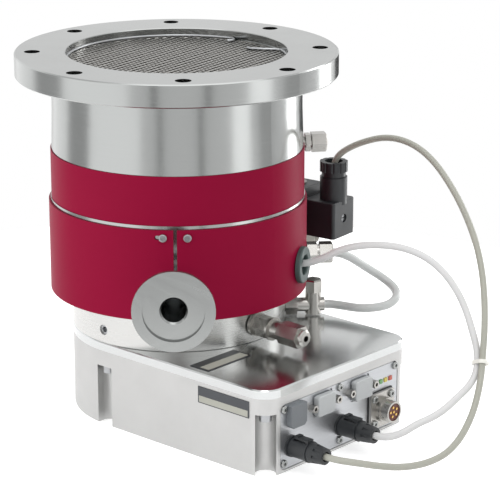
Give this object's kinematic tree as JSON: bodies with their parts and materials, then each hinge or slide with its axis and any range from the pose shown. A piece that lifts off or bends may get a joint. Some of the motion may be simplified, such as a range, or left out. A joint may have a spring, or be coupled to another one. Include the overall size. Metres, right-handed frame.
{
  "type": "turbomolecular pump",
  "caption": "Turbomolecular vacuum pump with a bolted inlet flange, side foreline port, controller box underneath, vent valve, plugs and leads.",
  "frame": {"origin": "on the pump axis in the plane the controller box rests on", "axes": "+Z along the pump axis to the inlet flange, +X square to the connector panel, towards its plugs"},
  "size_m": [0.3421, 0.2567, 0.256],
  "materials": {
    "red_lacquer": "gloss lacquer on sheet metal",
    "turned_aluminium": "fine turned and brushed, bare",
    "cast_aluminium": "machined casting",
    "box_aluminium": "satin blasted and anodised",
    "lid_aluminium": "polished anodised",
    "panel_aluminium": "fine brushed sheet",
    "rotor_aluminium": "machined alloy",
    "stainless": "turned stainless steel",
    "zinc_steel": "zinc plated screws",
    "dark_steel": "laminations and bearing steel",
    "nickel": "nickel plated fittings",
    "contact_gold": "gold plated contacts",
    "brown_insulator": "moulded thermoset",
    "black_plastic": "moulded glass-filled nylon",
    "grey_plastic": "moulded caps",
    "board_green": "circuit board",
    "seal_rubber": "elastomer",
    "grommet_rubber": "dark grey-green elastomer",
    "grey_sheath": "grey PVC sheath",
    "white_sheath": "white PVC sheath",
    "clear_tube": "translucent tube",
    "tie_nylon": "natural nylon",
    "lamp_lens": "indicator windows"
  },
  "bodies": {
    "pump": {"controller_housing": "box_aluminium", "controller_lid": "lid_aluminium", "bottom_cover": "box_aluminium", "control_board": "board_green", "pump_base": "cast_aluminium", "base_plug": "zinc_steel", "casing_o_ring": "seal_rubber", "cap_screws": "zinc_steel", "inlet_casing": "turned_aluminium", "inlet_screen": "stainless", "screen_ring": "stainless", "upper_band": "red_lacquer", "lower_cover": "red_lacquer", "cover_screws": "zinc_steel", "foreline_port": "stainless", "stator_discs": "rotor_aluminium", "spacer_rings": "rotor_aluminium", "drag_stator": "rotor_aluminium", "bearing_cartridge": "cast_aluminium", "radial_bearings": "dark_steel", "motor_stator": "dark_steel", "axial_bearings": "dark_steel", "touchdown_bearings": "dark_steel", "gauge_port": "nickel", "gauge_port_cap": "nickel", "tube_fittings": "nickel", "tube_nuts": "nickel", "purge_port": "nickel", "purge_port_cap": "nickel", "lead_grommet": "grommet_rubber", "vent_valve_body": "nickel", "vent_coil": "black_plastic", "din_gasket": "seal_rubber", "din_housing": "black_plastic", "din_screw": "zinc_steel", "din_gland_nut": "black_plastic", "connector_panel": "panel_aluminium", "service_port_cap": "grey_plastic", "dsub_caps": "grey_plastic", "jack_screws": "nickel", "status_lamps": "lamp_lens", "power_gasket": "seal_rubber", "power_shell": "nickel", "power_insert": "brown_insulator", "power_pins": "contact_gold", "m3_screws": "stainless", "signal_sockets": "black_plastic", "grey_plug_body": "black_plastic", "grey_plug_nut": "black_plastic", "white_plug_body": "black_plastic", "white_plug_nut": "black_plastic", "grey_cable": "grey_sheath", "white_cable": "white_sheath", "coolant_tube": "clear_tube", "cable_tie": "tie_nylon"},
    "rotor": {"bladed_rotor": "rotor_aluminium", "rotor_shaft": "dark_steel"},
    "vent_armature": {"vent_plunger": "stainless"},
    "grey_latch": {"grey_plug_latch": "black_plastic"},
    "white_latch": {"white_plug_latch": "black_plastic"}
  },
  "joints": [
    {"name": "rotor_spin", "type": "hinge", "parent": "pump", "child": "rotor", "pos_m": [0, 0, 0.15], "axis": [0, 0, 1], "continuous": true},
    {"name": "vent_armature_stroke", "type": "slide", "parent": "pump", "child": "vent_armature", "axis": [0, 0, 1], "range_m": [0, 0.001], "stiffness_N_per_m": 300, "springref_m": -0.004},
    {"name": "grey_latch_press", "type": "hinge", "parent": "pump", "child": "grey_latch", "pos_m": [0.1661, -0.05, 0.0235], "axis": [0, -1, 0], "range_deg": [0, 5], "stiffness_Nm_per_rad": 0.02},
    {"name": "white_latch_press", "type": "hinge", "parent": "pump", "child": "white_latch", "pos_m": [0.1661, 0.0012, 0.0235], "axis": [0, -1, 0], "range_deg": [0, 5], "stiffness_Nm_per_rad": 0.02}
  ]
}
